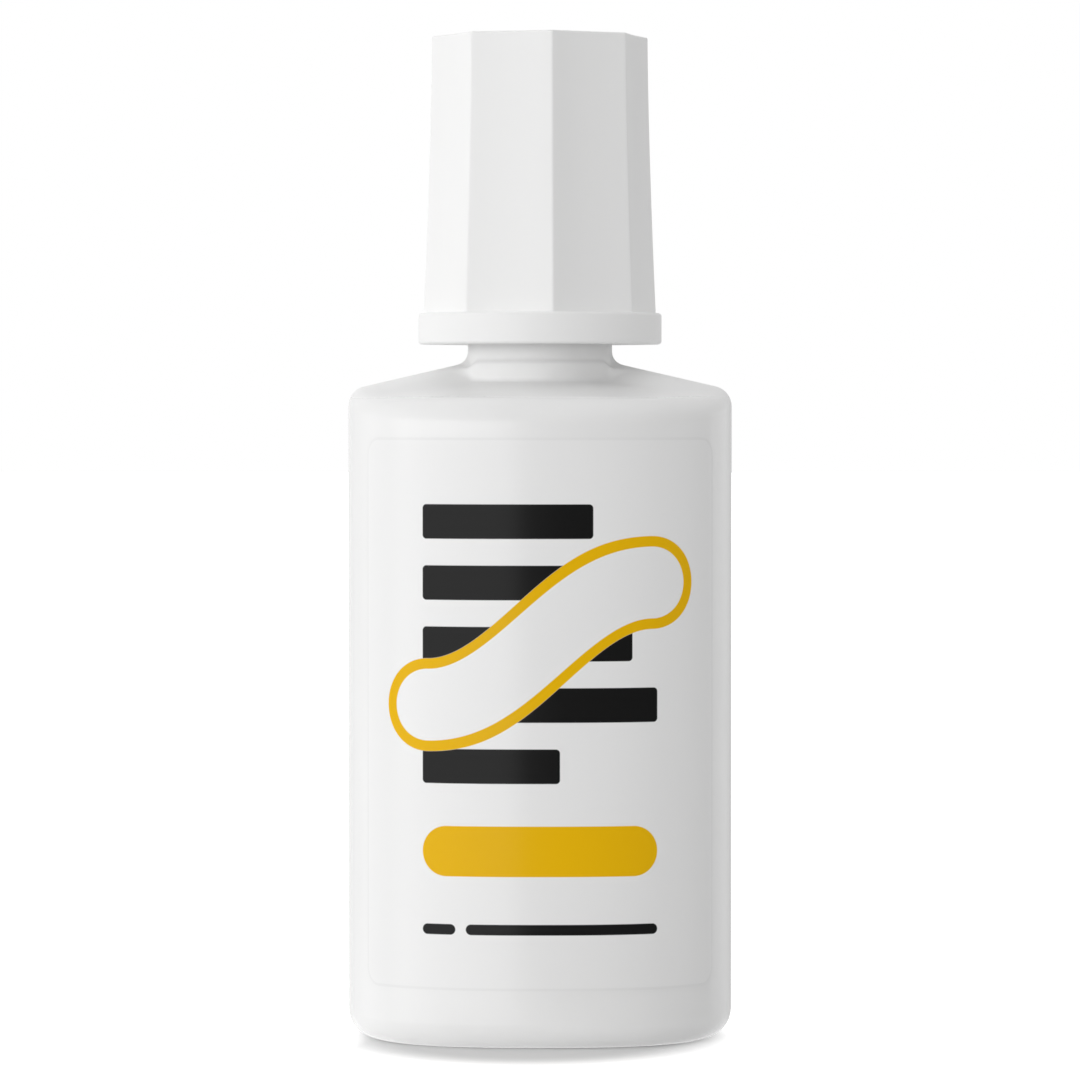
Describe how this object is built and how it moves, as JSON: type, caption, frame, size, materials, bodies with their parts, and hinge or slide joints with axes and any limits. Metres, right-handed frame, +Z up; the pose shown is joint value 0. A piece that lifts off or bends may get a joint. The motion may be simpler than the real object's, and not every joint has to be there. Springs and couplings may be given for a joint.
{
  "type": "correction fluid bottle",
  "caption": "White oval plastic bottle with a tall octagonal screw cap, whose stem carries a small brush through a wiper in the neck, for painting over mistakes on paper.",
  "frame": {"origin": "middle of the base, on the surface that the bottle stands on", "axes": "+Z up along the cap's axis, +X across the wide way of the body, -Y towards the front label"},
  "size_m": [0.0296, 0.0246, 0.077],
  "materials": {
    "bottle": "satin white, blow-moulded",
    "label": "white film, printed",
    "cap": "satin white, injection-moulded",
    "soft_plastic": "waxy natural white",
    "foam": "closed-cell foam",
    "nylon": "nylon filament",
    "staple": "flat wire",
    "ball": "polished steel"
  },
  "bodies": {
    "bottle": {"bottle_body": "bottle", "front_label": "label", "wiper_insert": "soft_plastic"},
    "liner": {"seal_liner": "foam"},
    "brush": {"applicator_stem": "soft_plastic", "brush_staple": "staple", "brush_bristles": "nylon"},
    "cap": {"cap_shell": "cap"},
    "ball": {"mixing_ball": "ball"}
  },
  "joints": [
    {"name": "cap_lift", "type": "slide", "parent": "bottle", "child": "liner", "axis": [0, 0, 1], "range_m": [0, 0.058]},
    {"name": "cap_rise", "type": "slide", "parent": "liner", "child": "brush", "axis": [0, 0, 1], "range_m": [0, 0.00265]},
    {"name": "cap_turn", "type": "hinge", "parent": "brush", "child": "cap", "pos_m": [0, 0, 0.0532], "axis": [0, 0, 1], "range_deg": [0, 450]},
    {"name": "ball_rattle", "type": "slide", "parent": "bottle", "child": "ball", "axis": [0, 0, 1], "range_m": [0, 0.04]}
  ],
  "couplings": [
    {"joint": "cap_rise", "follows": "cap_turn", "m_per_rad": 0.00033693}
  ]
}
